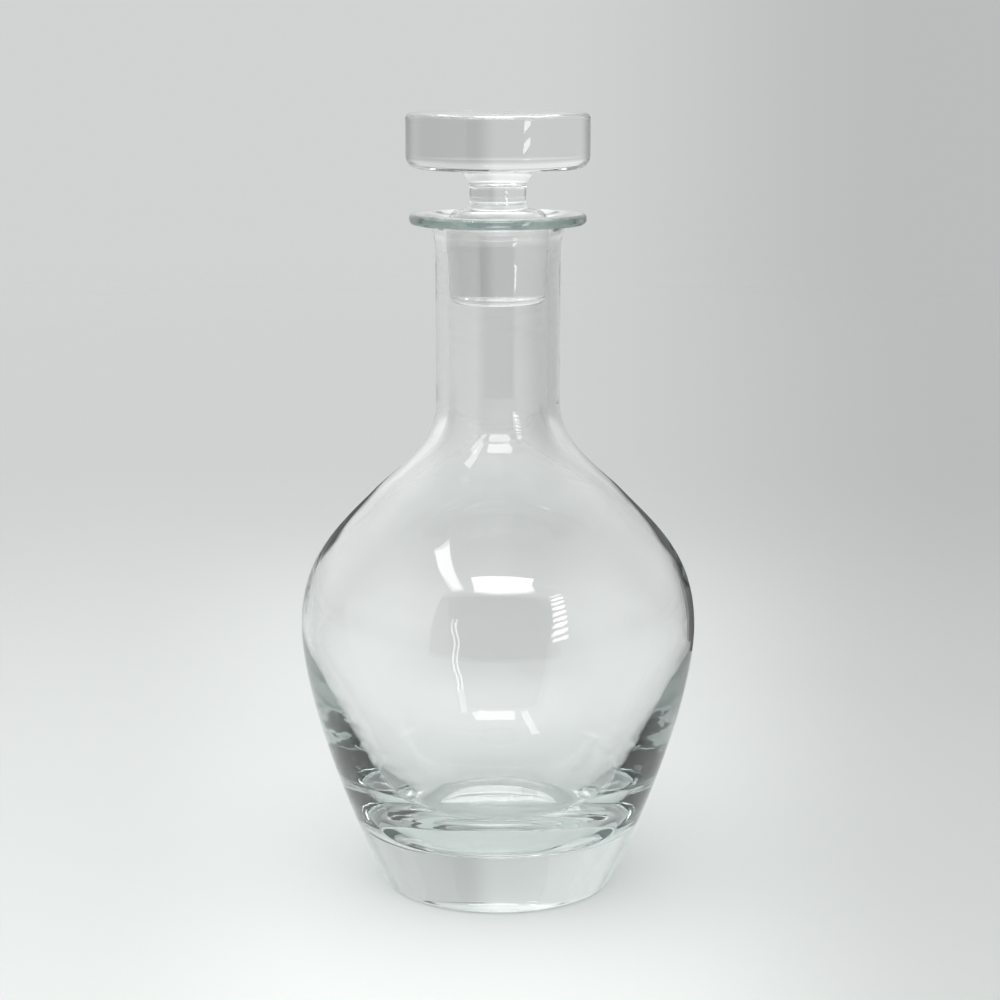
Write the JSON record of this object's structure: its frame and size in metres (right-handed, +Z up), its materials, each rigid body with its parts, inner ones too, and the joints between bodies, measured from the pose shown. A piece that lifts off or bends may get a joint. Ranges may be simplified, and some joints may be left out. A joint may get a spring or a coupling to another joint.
{
  "type": "whisky decanter",
  "caption": "Round clear glass decanter with a thick base, sloping shoulders, a straight flanged neck and a flat round lift-out glass stopper.",
  "frame": {"origin": "middle of the base, on the surface that the decanter stands on", "axes": "+Z up along the turning axis, towards the stopper; X and Y are alike all round"},
  "size_m": [0.1222, 0.1222, 0.24],
  "materials": {
    "bottle_glass": "clear fire-polished soda glass with a faint green-blue tint at its edges",
    "stopper_glass": "clear pressed and polished glass"
  },
  "bodies": {
    "bottle": {"bottle": "bottle_glass"},
    "stopper": {"stopper": "stopper_glass"}
  },
  "joints": [
    {"name": "stopper_lift", "type": "slide", "parent": "bottle", "child": "stopper", "axis": [0, 0, 1], "range_m": [0, 0.06]}
  ]
}
